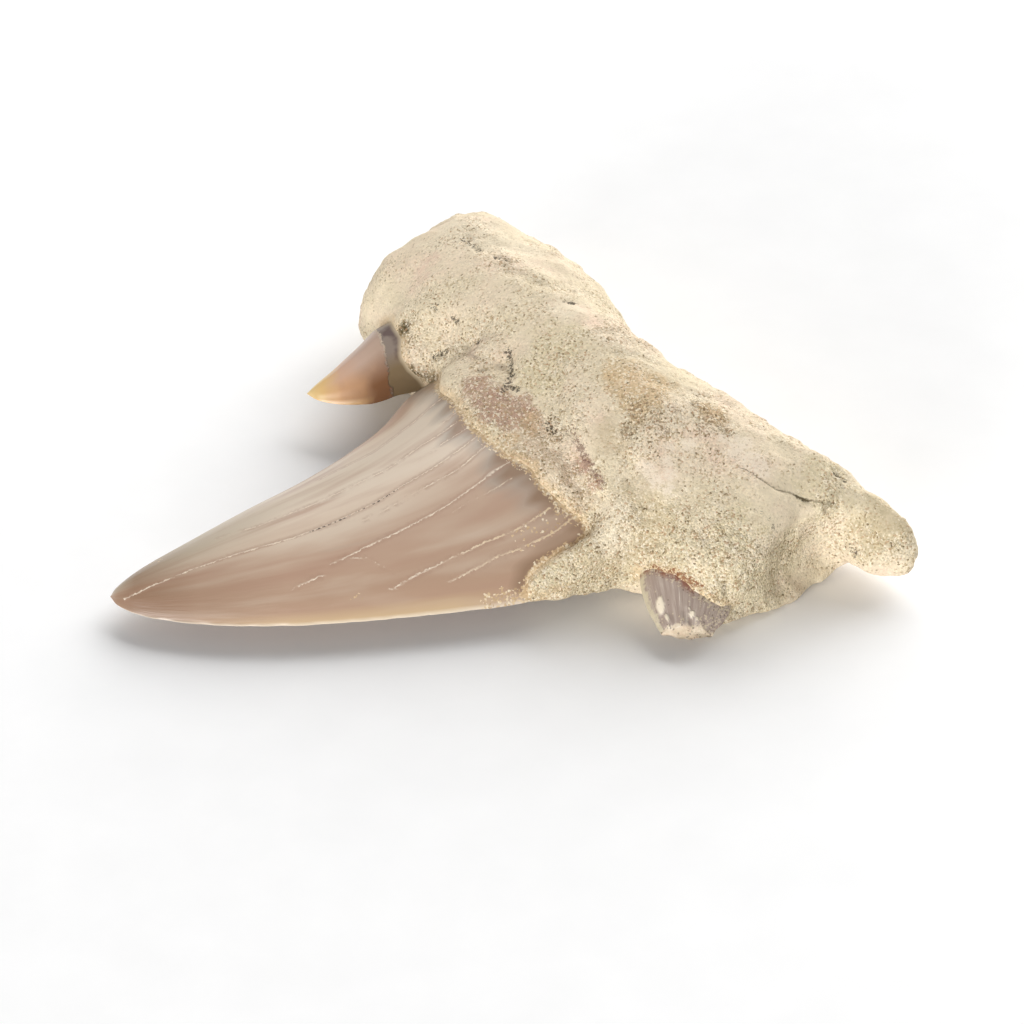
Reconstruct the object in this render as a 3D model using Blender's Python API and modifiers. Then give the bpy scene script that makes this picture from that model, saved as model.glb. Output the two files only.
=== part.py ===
# Fossil shark tooth with a sandy crust on its root, lying on its flat face.
# The drawing below is in millimetres and looks down on the tooth: -X runs towards the tip of the
# crown, +X towards the end of the narrow root lobe, and the wide root lobe lies towards +Y.
# Heights are above the surface that the tooth lies on.

import math

import bmesh
import bpy
from mathutils import Vector, noise

MM = 0.001
FOOTPRINT_CENTRE = Vector((0.25, 15.4, 0.0))  # the drawing's point that becomes the origin

# Root sections, from the end of the wide lobe to the end of the narrow one. Each is the widest
# point on the crown side, the ridge, the widest point on the basal side, and the underside's height.
ROOT_SECTIONS = [
    ((-9.6, 40.0, 7.5), (-9.6, 40.0, 7.5), (-9.6, 40.0, 7.5), 7.5),
    ((-12.6, 36.4, 7.0), (-8.6, 38.6, 11.0), (-4.8, 43.8, 7.0), 1.5),
    ((-14.7, 31.4, 6.8), (-6.0, 34.4, 14.3), (0.4, 41.2, 6.8), 0.0),
    ((-12.8, 26.2, 6.5), (-3.0, 28.4, 15.8), (6.4, 34.1, 6.5), -0.3),
    ((-9.4, 20.9, 6.0), (0.8, 21.8, 16.4), (10.3, 27.4, 6.5), -0.4),
    ((-5.2, 14.0, 5.5), (4.2, 15.6, 16.5), (12.8, 21.6, 6.5), -0.4),
    ((-1.6, 7.2, 5.0), (8.2, 10.2, 16.3), (16.6, 16.8, 6.5), -0.4),
    ((4.0, 0.3, 4.8), (11.0, 6.8, 15.9), (19.0, 14.6, 6.5), -0.4),
    ((7.2, -4.6, 4.2), (13.8, 4.0, 15.2), (21.9, 11.9, 6.5), -0.4),
    ((9.0, -6.7, 3.4), (17.5, 1.0, 14.5), (25.4, 8.6, 6.3), -0.4),
    ((12.2, -7.6, 3.2), (21.5, -1.0, 13.4), (28.7, 5.4, 6.0), -0.4),
    ((17.0, -11.0, 3.2), (25.0, -2.2, 12.2), (31.6, 3.2, 6.0), -0.4),
    ((22.0, -10.0, 3.2), (28.0, -2.4, 11.0), (34.0, 1.3, 5.6), 0.2),
    ((25.2, -5.4, 3.4), (31.2, -2.4, 10.0), (35.8, -0.5, 5.4), 0.9),
    ((29.4, -2.6, 3.8), (34.2, -3.0, 8.5), (37.1, -2.4, 5.2), 1.4),
    ((33.9, -4.9, 4.0), (36.5, -4.3, 6.9), (37.9, -4.0, 5.0), 1.8),
    ((37.7, -5.2, 4.7), (37.7, -5.2, 4.7), (37.7, -5.2, 4.7), 4.7),
]

# The band of crust between the enamel's edge and the root's step, told in the same way
NECK_SECTIONS = [
    ((-7.4, 17.2, 7.8), (-6.0, 18.2, 9.8), (-4.4, 19.4, 9.2), 6.0),
    ((-6.5, 12.6, 10.5), (-3.9, 13.4, 12.9), (-1.2, 14.6, 12.8), 8.0),
    ((-5.4, 8.2, 11.5), (-2.4, 10.2, 13.5), (0.3, 12.4, 13.2), 8.5),
    ((-4.2, 4.6, 11.8), (-1.2, 6.8, 13.8), (1.8, 8.9, 13.5), 9.0),
    ((-2.2, 2.0, 11.6), (0.8, 4.0, 13.6), (3.3, 5.9, 13.4), 8.5),
    ((0.4, 0.2, 11.1), (3.0, 1.8, 12.9), (5.4, 3.2, 12.8), 8.0),
    ((3.0, -2.1, 9.7), (5.2, -0.5, 11.6), (7.3, 0.9, 11.8), 7.0),
    ((5.3, -3.5, 8.1), (7.1, -2.3, 9.9), (9.0, -1.0, 10.0), 5.5),
    ((6.9, -4.7, 6.7), (8.4, -4.0, 8.0), (10.2, -2.6, 8.4), 4.0),
]

# The tongue of crust that wraps the crown's near corner
APRON_SECTIONS = [
    ((1.4, -5.2, 3.8), (1.4, -8.8, 5.0), (1.4, -9.7, 3.5), 2.4),
    ((3.6, -4.8, 4.5), (3.7, -7.9, 6.6), (4.1, -9.0, 3.6), 2.0),
    ((6.2, -4.0, 5.0), (6.6, -6.7, 7.8), (7.3, -7.7, 3.8), 1.4),
    ((9.4, -3.0, 6.0), (10.0, -4.8, 9.8), (10.6, -7.0, 4.0), 0.6),
]

# Crown and cusp sections, from the end buried in the root to the tip. Each is the far cutting edge,
# the near cutting edge, the height of the rounded face, and how far the flat face bulges down.
CROWN_SECTIONS = [
    ((-5.0, 21.0, 7.0), (10.5, -5.0, 5.0), 13.2, 2.0),
    ((-9.7, 17.8, 6.0), (5.0, -8.4, 3.8), 12.6, 1.8),
    ((-12.6, 13.2, 5.5), (0.6, -9.8, 3.1), 11.7, 1.6),
    ((-16.2, 9.4, 5.0), (-5.0, -10.8, 3.0), 10.6, 1.4),
    ((-20.4, 6.0, 4.4), (-12.0, -11.8, 2.9), 9.3, 1.2),
    ((-25.4, 2.6, 3.8), (-20.0, -12.5, 2.8), 7.9, 1.0),
    ((-30.7, -1.4, 3.2), (-27.5, -12.3, 2.7), 6.3, 0.8),
    ((-34.6, -4.7, 2.9), (-33.3, -11.2, 2.6), 4.9, 0.5),
    ((-36.7, -6.9, 2.7), (-36.3, -9.7, 2.6), 3.6, 0.3),
    ((-37.4, -8.2, 2.6), (-37.4, -8.2, 2.6), 2.6, 0.0),
]
WHOLE_CUSP_SECTIONS = [
    ((-7.5, 27.0, 8.5), (-6.5, 19.0, 6.0), 10.8, 1.0),
    ((-12.9, 26.8, 7.2), (-10.5, 19.3, 5.9), 9.6, 0.9),
    ((-15.5, 23.9, 6.6), (-13.6, 17.6, 5.2), 8.4, 0.8),
    ((-17.6, 21.5, 6.0), (-16.6, 17.5, 5.0), 7.0, 0.6),
    ((-19.2, 20.1, 5.4), (-18.8, 18.1, 5.0), 5.9, 0.3),
    ((-20.1, 19.2, 5.0), (-20.1, 19.2, 5.0), 5.0, 0.0),
]
BROKEN_CUSP_SECTIONS = [
    ((13.0, -2.0, 5.5), (23.0, -4.5, 6.0), 9.0, 1.0),
    ((11.9, -6.6, 4.2), (20.6, -9.2, 4.6), 7.2, 0.9),
    ((12.4, -9.8, 3.0), (20.0, -11.4, 3.2), 5.2, 0.8),
    ((13.8, -13.0, 2.0), (18.5, -13.2, 2.2), 3.1, 0.5),
]
UNDERSIDE_FLATNESS = 0.55  # lower values give the root's sections a squarer underside
FACE_FULLNESS = 2.2  # higher values give the blades' rounded faces steeper sides

# Facets of each form: along it, and across its upper and lower face
ROOT_FACETS = (80, 34, 18)
NECK_FACETS = (36, 12, 8)
APRON_FACETS = (20, 12, 8)
CROWN_FACETS = (26, 14, 10)
CUSP_FACETS = (12, 10, 6)
CRUST_FACET = 1.25  # side of the facets of the crust's skin

# Relief of the crust
LUMP_LENGTH, LUMP_HEIGHT = 7.0, 0.8
KNOB_LENGTH, KNOB_HEIGHT = 2.8, 0.45
APRON_TIP, TIP_REACH = Vector((1.4, -9.3)), 7.0  # the relief dies out towards this thin tip
LEDGE_START, LEDGE_END = Vector((2.1, 6.0)), Vector((8.3, -3.7))  # step above the bare neck band
LEDGE_RISE, LEDGE_WIDTH, LEDGE_FADE = 0.6, 0.8, 6.0
CRACK_ROUTE = [
    (20.4, -1.6, 13.3),
    (22.9, -3.0, 12.9),
    (25.4, -3.5, 10.9),
    (27.4, -3.4, 10.1),
    (29.0, -3.4, 9.4),
    (30.1, -3.1, 7.8),
]
CRACK_RADIUS = 0.45


def numbers_in(section):
    return [number for item in section for number in (item if isinstance(item, tuple) else (item,))]


def smooth_between(rows, position):
    """The Catmull-Rom value at a fractional row number."""
    last = len(rows) - 1
    first = min(int(position), last - 1)
    t = position - first
    b, c = rows[first], rows[first + 1]
    a = rows[first - 1] if first else [2 * p - q for p, q in zip(b, c)]
    d = rows[first + 2] if first + 2 <= last else [2 * q - p for p, q in zip(b, c)]
    return [
        q + 0.5 * t * (r - p + t * (2 * p - 5 * q + 4 * r - s + t * (3 * (q - r) + s - p)))
        for p, q, r, s in zip(a, b, c, d)
    ]


def root_ring(row, upper, lower):
    """Points round a root section: over the ridge from the crown side, and back underneath."""
    crown_side, ridge, basal_side = Vector(row[0:3]), Vector(row[3:6]), Vector(row[6:9])
    underside = row[9]
    ring = []
    for k in range(upper):
        angle = math.pi * k / upper
        side = crown_side if k < upper / 2 else basal_side
        point = side.lerp(ridge, 1 - abs(math.cos(angle)))
        point.z = side.z + (ridge.z - side.z) * math.sin(angle)
        ring.append(point)
    for k in range(lower):
        angle = math.pi * k / lower
        point = basal_side.lerp(crown_side, (1 - math.cos(angle)) / 2)
        point.z += (underside - point.z) * math.sin(angle) ** UNDERSIDE_FLATNESS
        ring.append(point)
    return ring


def blade_ring(row, upper, lower):
    """Points round a crown or cusp section, a lens with a sharp edge on each side."""
    far, near, rounded, bulge = Vector(row[0:3]), Vector(row[3:6]), row[6], row[7]
    ring = []
    for k in range(upper):
        across = -math.cos(math.pi * k / upper)
        point = far.lerp(near, (1 + across) / 2)
        point.z += (rounded - (far.z + near.z) / 2) * (1 - abs(across) ** FACE_FULLNESS)
        ring.append(point)
    for k in range(lower):
        across = math.cos(math.pi * k / lower)
        point = far.lerp(near, (1 + across) / 2)
        point.z -= bulge * (1 - across**2)
        ring.append(point)
    return ring


def add_loft(shape, sections, ring_of, facets):
    """Adds a closed skin over smoothly blended sections, in metres about the origin."""
    along, upper, lower = facets
    rows = [numbers_in(section) for section in sections]
    rings = []
    for i in range(along + 1):
        ring = ring_of(smooth_between(rows, (len(rows) - 1) * i / along), upper, lower)
        rings.append([shape.verts.new((point - FOOTPRINT_CENTRE) * MM) for point in ring])
    for first, second in zip(rings, rings[1:]):
        for k in range(upper + lower):
            shape.faces.new((first[k - 1], first[k], second[k], second[k - 1]))
    shape.faces.new(rings[0])
    shape.faces.new(rings[-1])
    bmesh.ops.remove_doubles(shape, verts=shape.verts, dist=0.02 * MM)
    bmesh.ops.recalc_face_normals(shape, faces=shape.faces)


def object_from(shape, name):
    mesh = bpy.data.meshes.new(name)
    shape.to_mesh(mesh)
    shape.free()
    return bpy.data.objects.new(name, mesh)


def blade(name, sections, facets):
    shape = bmesh.new()
    add_loft(shape, sections, blade_ring, facets)
    return object_from(shape, name)


def ledge_height(x, y):
    """The crust steps up along a line beside the neck band, and falls back to the root away from it."""
    line = LEDGE_END - LEDGE_START
    from_start = Vector((x, y)) - LEDGE_START
    along = from_start.dot(line) / line.length_squared
    beyond = from_start.cross(line) / -line.length
    window = max(0.0, 1 - max(0.0, abs(along - 0.5) - 0.4) / 0.35)
    step = min(max(beyond / LEDGE_WIDTH, -1.0), 1.0)
    return LEDGE_RISE * window * step * math.exp(-abs(beyond) / LEDGE_FADE)


def roughen(mesh):
    """Raises the crust's relief along its own normals, and flattens what would reach below the ground."""
    moves = []
    for vertex in mesh.vertices:
        place = vertex.co / MM + FOOTPRINT_CENTRE
        lumps = LUMP_HEIGHT * noise.noise(place / LUMP_LENGTH)
        knobs = KNOB_HEIGHT * noise.noise(place / KNOB_LENGTH)
        ledge = ledge_height(place.x, place.y) if vertex.normal.z > 0 else 0.0
        fade = min(1.0, (place.xy - APRON_TIP).length / TIP_REACH)
        moves.append(vertex.normal * (lumps + knobs + ledge) * fade * MM)
    for vertex, move in zip(mesh.vertices, moves):
        vertex.co += move
        vertex.co.z = max(vertex.co.z, 0.0)


def crusted_root():
    """The root, neck and apron grown together as one rough skin."""
    shape = bmesh.new()
    add_loft(shape, ROOT_SECTIONS, root_ring, ROOT_FACETS)
    add_loft(shape, NECK_SECTIONS, root_ring, NECK_FACETS)
    add_loft(shape, APRON_SECTIONS, root_ring, APRON_FACETS)
    smooth = object_from(shape, "smooth_root")
    bpy.context.scene.collection.objects.link(smooth)
    skin = smooth.modifiers.new("skin", "REMESH")
    skin.mode = "VOXEL"
    skin.voxel_size = CRUST_FACET * MM
    seen = smooth.evaluated_get(bpy.context.evaluated_depsgraph_get())
    mesh = bpy.data.meshes.new_from_object(seen)
    bpy.data.objects.remove(smooth)
    roughen(mesh)
    return bpy.data.objects.new("tooth", mesh)


def finish(name, colour, roughness):
    material = bpy.data.materials.new(name)
    material.use_nodes = True
    shader = material.node_tree.nodes["Principled BSDF"]
    shader.inputs["Base Color"].default_value = (*colour, 1.0)
    shader.inputs["Roughness"].default_value = roughness
    shader.inputs["Metallic"].default_value = 0.0
    return material


def crack_cutter():
    """A thin crooked wedge along the crack, as a bevelled line."""
    line = bpy.data.curves.new("crack_line", "CURVE")
    line.dimensions = "3D"
    line.bevel_depth = CRACK_RADIUS * MM
    line.bevel_resolution = 0
    line.use_fill_caps = True
    spline = line.splines.new("POLY")
    spline.points.add(len(CRACK_ROUTE) - 1)
    for point, place in zip(spline.points, CRACK_ROUTE):
        point.co = (*((Vector(place) - FOOTPRINT_CENTRE) * MM), 1.0)
    spline.points[0].radius = spline.points[-1].radius = 0.3
    curve = bpy.data.objects.new("crack_line", line)
    bpy.context.scene.collection.objects.link(curve)
    seen = curve.evaluated_get(bpy.context.evaluated_depsgraph_get())
    shape = bmesh.new()
    shape.from_mesh(bpy.data.meshes.new_from_object(seen))
    bpy.data.objects.remove(curve)
    bmesh.ops.remove_doubles(shape, verts=shape.verts, dist=0.001 * MM)
    return object_from(shape, "crack_cutter")


def combine(tooth, other, operation, helpers):
    """Joins another form to the tooth, or cuts it away."""
    helpers.objects.link(other)
    other.hide_render = True
    other.display_type = "WIRE"
    change = tooth.modifiers.new(other.name, "BOOLEAN")
    change.solver = "EXACT"
    change.operation = operation
    change.object = other


def main():
    for old in list(bpy.data.objects):
        bpy.data.objects.remove(old)
    parts = bpy.data.collections.new("fossil_shark_tooth")
    helpers = bpy.data.collections.new("joined_and_cut_forms")
    for collection in (parts, helpers):
        bpy.context.scene.collection.children.link(collection)

    crust = finish("sandy_crust", (0.66, 0.56, 0.41), 0.9)
    enamel = finish("enamel", (0.50, 0.41, 0.33), 0.3)

    tooth = crusted_root()
    parts.objects.link(tooth)
    tooth.data.materials.append(crust)
    tooth.data.materials.append(enamel)

    blades = (
        blade("crown", CROWN_SECTIONS, CROWN_FACETS),
        blade("whole_cusp", WHOLE_CUSP_SECTIONS, CUSP_FACETS),
        blade("broken_cusp", BROKEN_CUSP_SECTIONS, CUSP_FACETS),
    )
    for form in blades:
        form.data.materials.append(enamel)
        combine(tooth, form, "UNION", helpers)
    combine(tooth, crack_cutter(), "DIFFERENCE", helpers)


main()
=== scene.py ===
import math
from functools import partial

import bmesh
import bpy
import numpy as np
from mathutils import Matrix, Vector, noise
from mathutils.bvhtree import BVHTree
from mathutils.kdtree import KDTree


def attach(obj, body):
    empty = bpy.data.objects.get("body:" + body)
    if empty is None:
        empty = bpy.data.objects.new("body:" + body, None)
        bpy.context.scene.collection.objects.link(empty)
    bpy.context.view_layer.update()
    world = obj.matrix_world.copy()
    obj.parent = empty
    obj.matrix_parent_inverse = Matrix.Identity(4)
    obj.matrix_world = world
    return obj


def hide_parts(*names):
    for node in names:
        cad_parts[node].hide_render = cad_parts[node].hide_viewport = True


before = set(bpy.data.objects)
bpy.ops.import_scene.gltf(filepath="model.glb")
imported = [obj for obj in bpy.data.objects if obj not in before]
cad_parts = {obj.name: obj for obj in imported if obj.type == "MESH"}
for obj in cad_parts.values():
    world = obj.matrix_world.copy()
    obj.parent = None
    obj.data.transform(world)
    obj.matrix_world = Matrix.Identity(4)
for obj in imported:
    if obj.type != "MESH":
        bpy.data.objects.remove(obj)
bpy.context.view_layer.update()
print("frame loaded")

mm = 0.001
drawingCentre = np.array([0.25, 15.4, 0.0])  # the drawing's point that is the frame's origin


# Small tools

def paint(code):  # sRGB hex to the linear colour that nodes take
    levels = [int(code[k:k + 2], 16) / 255 for k in (1, 3, 5)]
    return [v / 12.92 if v <= 0.04045 else ((v + 0.055) / 1.055) ** 2.4 for v in levels] + [1.0]


def addNode(tree, kind, *values, stops=(), **settings):
    # Values, numbers or other nodes, go into the inputs that the node shows, in order. A setting with a
    # capital letter is an input by its name, any other is the node's own, and stops are (place, hex).
    node = tree.nodes.new("ShaderNode" + kind)
    for name, value in settings.items():
        if name[0].islower():
            setattr(node, name, value)
    inputs = list(zip([socket for socket in node.inputs if socket.enabled], values))
    inputs += [(node.inputs[name], value) for name, value in settings.items() if name[0].isupper()]
    for socket, value in inputs:
        if isinstance(value, bpy.types.Node):
            value = next(output for output in value.outputs if output.enabled)
        if isinstance(value, bpy.types.NodeSocket):
            tree.links.new(value, socket)
        else:
            socket.default_value = value
    for k, (place, code) in enumerate(stops):
        elements = node.color_ramp.elements
        element = elements[k] if k < len(elements) else elements.new(place)
        element.position = place
        element.color = paint(code)
    return node


def newFinish(name, read=()):  # addNode for its own tree, the place in mm, and the mesh's values by name
    material = bpy.data.materials.new(name)
    material.use_nodes = True
    add = partial(addNode, material.node_tree)
    place = add("VectorMath", add("TexCoord").outputs["Object"], Scale=1 / mm, operation="SCALE")
    values = {key: add("Attribute", attribute_name=key).outputs["Fac"] for key in read}
    return material, add, place, values


def giveShader(material, looks, colour, height=None, gloss=None):  # height is in shares of the relief
    tree = material.node_tree
    shader = tree.nodes["Principled BSDF"]
    linked = {"Base Color": colour, "Roughness": gloss}
    if height:
        strength, relief = looks["relief"]
        linked["Normal"] = addNode(tree, "Bump", Height=height, Strength=strength, Distance=relief * mm)
    for name, node in linked.items():
        if node:
            tree.links.new(next(output for output in node.outputs if output.enabled), shader.inputs[name])
    for name, key in (("Roughness", "roughness"), ("IOR", "ior"), ("Specular IOR Level", "specular")):
        if key in looks:
            shader.inputs[name].default_value = looks[key]
    return material


def fade(value, start, end):  # smooth 0 to 1 between start and end, either way round
    t = np.clip((value - start) / (end - start), 0, 1)
    return t * t * (3 - 2 * t)


def noiseAt(points, length, shift=0.0):  # soft noise, -1 to 1, with lumps of about that length in mm
    return np.array([noise.noise(p) for p in (points / length + shift).tolist()])


def newObject(name, data):
    made = bpy.data.objects.new(name, data)
    bpy.context.scene.collection.objects.link(made)
    return made


def giveValues(mesh, name, values):
    layer = mesh.attributes.new(name, "FLOAT", "POINT")
    layer.data.foreach_set("value", np.asarray(values, np.float32))


def pointsOf(mesh):  # the mesh's points in drawing mm
    flat = np.empty(len(mesh.vertices) * 3)
    mesh.vertices.foreach_get("co", flat)
    return flat.reshape(-1, 3) / mm + drawingCentre


def lineDistance(points, route):  # distance in mm to a line through the route's points, and where along it
    route = np.array(route, float)
    best = np.full(len(points), 1e9)
    where = np.zeros(len(points))
    for k, (start, end) in enumerate(zip(route, route[1:])):
        step = end - start
        t = np.clip(((points - start) @ step) / (step @ step), 0, 1)
        gap = np.linalg.norm(points - start - t[:, None] * step, axis=1)
        closer = gap < best
        best[closer] = gap[closer]
        where[closer] = (k + t[closer]) / (len(route) - 1)
    return best, where


# Lofts through the same sections as the solid's

def smoothRows(rows, count):  # Catmull-Rom through the rows, and each new row's fractional number
    rows = np.array(rows, float)
    rows = np.vstack([2 * rows[0] - rows[1], rows, 2 * rows[-1] - rows[-2]])
    position = np.linspace(0, len(rows) - 3, count)
    first = np.minimum(position.astype(int), len(rows) - 4)
    t = (position - first)[:, None]
    a, b, c, d = (rows[first + k] for k in range(4))
    return b + 0.5 * t * (c - a + t * (2 * a - 5 * b + 4 * c - d + t * (3 * (b - c) + d - a))), position


def rootRings(rows, upper, lower, squareness=0.55):
    crownSide, ridge, basalSide = rows[:, None, 0:3], rows[:, None, 3:6], rows[:, None, 6:9]
    angle = math.pi * np.arange(upper) / upper
    side = np.where((np.arange(upper) < upper / 2)[None, :, None], crownSide, basalSide)
    over = side + (ridge - side) * (1 - np.abs(np.cos(angle)))[None, :, None]
    over[:, :, 2] = side[:, :, 2] + (ridge - side)[:, :, 2] * np.sin(angle)[None, :]
    angle = math.pi * np.arange(lower) / lower
    under = basalSide + (crownSide - basalSide) * ((1 - np.cos(angle)) / 2)[None, :, None]
    under[:, :, 2] += (rows[:, 9:10] - under[:, :, 2]) * np.sin(angle)[None, :] ** squareness
    return np.concatenate([over, under], axis=1)


def bladeRings(rows, upper, lower, fullness=2.2):
    far, near = rows[:, None, 0:3], rows[:, None, 3:6]
    topAcross = -np.cos(math.pi * np.arange(upper) / upper)
    baseAcross = np.cos(math.pi * np.arange(lower) / lower)
    across = np.concatenate([topAcross, baseAcross])
    rings = far + (near - far) * ((1 + across) / 2)[None, :, None]
    middle = (rows[:, 2:3] + rows[:, 5:6]) / 2
    rings[:, :upper, 2] += (rows[:, 6:7] - middle) * (1 - np.abs(topAcross) ** fullness)[None, :]
    rings[:, upper:, 2] -= rows[:, 7:8] * (1 - baseAcross ** 2)[None, :]
    return rings, across


def skinOver(name, ringSets, values=None):  # one mesh of closed lofts, each a block of rings
    places, faces, start = [], [], 0
    for rings in ringSets:
        count, around = rings.shape[:2]
        places.append(rings.reshape(-1, 3))
        ids = start + np.arange(count * around).reshape(count, around)
        left, right = np.roll(ids, 1, axis=1), ids
        quads = np.stack([left[:-1], right[:-1], right[1:], left[1:]], axis=-1).reshape(-1, 4)
        faces += quads.tolist() + [ids[0].tolist(), ids[-1].tolist()]
        start += count * around
    mesh = bpy.data.meshes.new(name)
    mesh.from_pydata(((np.concatenate(places) - drawingCentre) * mm).tolist(), [], faces)
    for key, data in (values or {}).items():
        giveValues(mesh, key, data)
    shape = bmesh.new()
    shape.from_mesh(mesh)
    bmesh.ops.remove_doubles(shape, verts=shape.verts, dist=0.01 * mm)
    bmesh.ops.recalc_face_normals(shape, faces=shape.faces)
    shape.to_mesh(mesh)
    shape.free()
    return mesh


# Enamel blades: crown, whole cusp, broken cusp.
# Sections from the end inside the root to the tip: far edge, near edge, height of the rounded face,
# and how far the flat face bulges down.

crownShape = {
    "sections": [
        (-5.0, 21.0, 7.0, 10.5, -5.0, 5.0, 13.2, 2.0),
        (-9.7, 17.8, 6.0, 5.0, -8.4, 3.8, 12.6, 1.8),
        (-12.6, 13.2, 5.5, 0.6, -9.8, 3.1, 11.7, 1.6),
        (-16.2, 9.4, 5.0, -5.0, -10.8, 3.0, 10.6, 1.4),
        (-20.4, 6.0, 4.4, -12.0, -11.8, 2.9, 9.3, 1.2),
        (-25.4, 2.6, 3.8, -20.0, -12.5, 2.8, 7.9, 1.0),
        (-30.7, -1.4, 3.2, -27.5, -12.3, 2.7, 6.3, 0.8),
        (-34.6, -4.7, 2.9, -33.3, -11.2, 2.6, 4.9, 0.5),
        (-36.7, -6.9, 2.7, -36.3, -9.7, 2.6, 3.6, 0.3),
        (-37.4, -8.2, 2.6, -37.4, -8.2, 2.6, 2.6, 0.0),
    ],
    "rows": 250, "upper": 120, "lower": 56,
    "tip": (-37.4, -8.2, 2.6),
    "edgeNick": 0.10,  # mm that the cutting edge wanders
    "swell": 0.06,  # mm of slow unevenness along the growth lines
    "groove": 0.03,  # mm that an open crack sinks
    "crackSlope": (0.22, 0.03),  # mm from a crack where its groove starts, and where it is deepest
    "wideCrack": (-1.7, -0.5, 1.1), "wideReach": (1.1, 0.4),  # x and y where a crack gapes, and how much; mm
    # sand that clings to the enamel: a line (x, y), how thick, and mm from it where it ends and is full
    "sandFilms": [([(4.6, -3.6), (0.8, -5.7)], 1.0, (1.2, 0.2)),
                  ([(-2.2, -10.3), (1.6, -9.2)], 3.0, (1.1, 0.1))],
    "pits": [(-33.1, -5.7, 0.8), (-14.2, -10.6, 0.7)],  # small pale pits: x, y and radius
    "soiled": [(-18.0, -5.3, 8.6), (-14.8, -4.1, 9.2), (-10.3, -1.5, 10.5)],  # soil still in the main crack
}

# Cracks in the enamel that have filled with fine sand, each from the base to the tip side (x, y),
# with its strength at both ends. Those of one family never cross.
crownCracks = {
    "mainCracks": [
        ([(-6.0, 11.0), (-8.4, 8.7), (-10.5, 6.7), (-13.2, 4.2), (-16.7, 2.6), (-18.1, 1.8)], 1.0, 0.8),
        ([(-5.3, 5.6), (-8.4, 3.3), (-11.6, 0.7), (-15.1, -0.8), (-18.8, -2.5), (-23.6, -4.2),
          (-27.5, -4.9)], 0.8, 0.35),
        ([(-3.4, 3.3), (-5.6, 1.6), (-7.7, 0.1), (-10.1, -1.4), (-12.7, -3.0), (-16.9, -4.9), (-20.6, -6.1),
          (-25.8, -7.2), (-29.8, -8.1), (-33.5, -9.1), (-35.9, -9.4)], 0.9, 0.9),
        ([(-1.5, 2.9), (-3.0, 1.9), (-4.8, 0.2), (-8.6, -2.1), (-11.8, -3.9), (-13.6, -4.7)], 0.8, 0.4),
        ([(-0.4, 0.5), (-2.1, -0.8), (-4.1, -2.2), (-6.4, -3.8), (-9.4, -5.5), (-13.6, -7.2),
          (-16.6, -8.4)], 0.95, 0.6),
        ([(3.4, -3.1), (0.7, -5.0), (-2.4, -6.2), (-5.3, -7.5), (-8.5, -8.9), (-11.0, -10.0)], 0.75, 0.6),
        ([(5.4, -3.6), (4.0, -4.8), (1.7, -6.1), (-1.4, -7.2), (-4.1, -8.4), (-5.6, -9.1)], 0.8, 0.35),
    ],
    "faintCracks": [
        ([(-5.0, 7.5), (-6.1, 6.5), (-8.6, 4.9)], 0.7, 0.0),
        ([(-4.3, 4.8), (-6.3, 3.1), (-8.9, 1.2)], 0.8, 0.1),
        ([(-0.2, -1.1), (-3.9, -3.4), (-6.4, -4.8)], 0.5, 0.2),
        ([(-11.0, -8.7), (-12.2, -8.4), (-13.3, -8.1), (-15.6, -8.1)], 0.55, 0.3),
        ([(-18.0, -9.4), (-19.4, -10.0), (-21.2, -10.6)], 0.6, 0.2),
    ],
}
growthLength, growthLumps = 16.0, 4.5  # mm between slow lumps along a blade, and lumps across half of it


def crackField(cracks, station, across, halfWidth, plan, onTop):
    # Signed distance in mm to the nearest crack. The sign swaps at each crack and nowhere else, so
    # that the value passes straight through zero between two points of the mesh.
    offsets, strengths = [], []
    topIds = np.flatnonzero(onTop)
    runOut = 0.12  # sections that a crack takes to close at its ends
    for route, baseStrength, tipStrength in cracks:
        ids = [topIds[np.argmin(np.sum((plan[topIds] - p) ** 2, axis=1))] for p in np.array(route)]
        order = np.argsort(station[ids])
        s, a = station[ids][order], across[ids][order]
        offsets.append((across - np.interp(station, s, a)) * halfWidth * 0.9)  # less, as it runs aslant
        run = np.clip((station - s[0]) / (s[-1] - s[0]), 0, 1)
        ends = fade(station, s[0] - runOut, s[0]) * fade(station, s[-1] + runOut, s[-1])
        strengths.append(ends * (baseStrength + (tipStrength - baseStrength) * run))
    offsets, strengths = np.array(offsets), np.array(strengths)
    nearest = np.argmin(np.abs(offsets), axis=0)
    pick = np.arange(len(station))
    swaps = 1 - 2 * (np.sum(offsets > 0, axis=0) % 2)
    return swaps * np.abs(offsets[nearest, pick]), strengths[nearest, pick]


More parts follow.
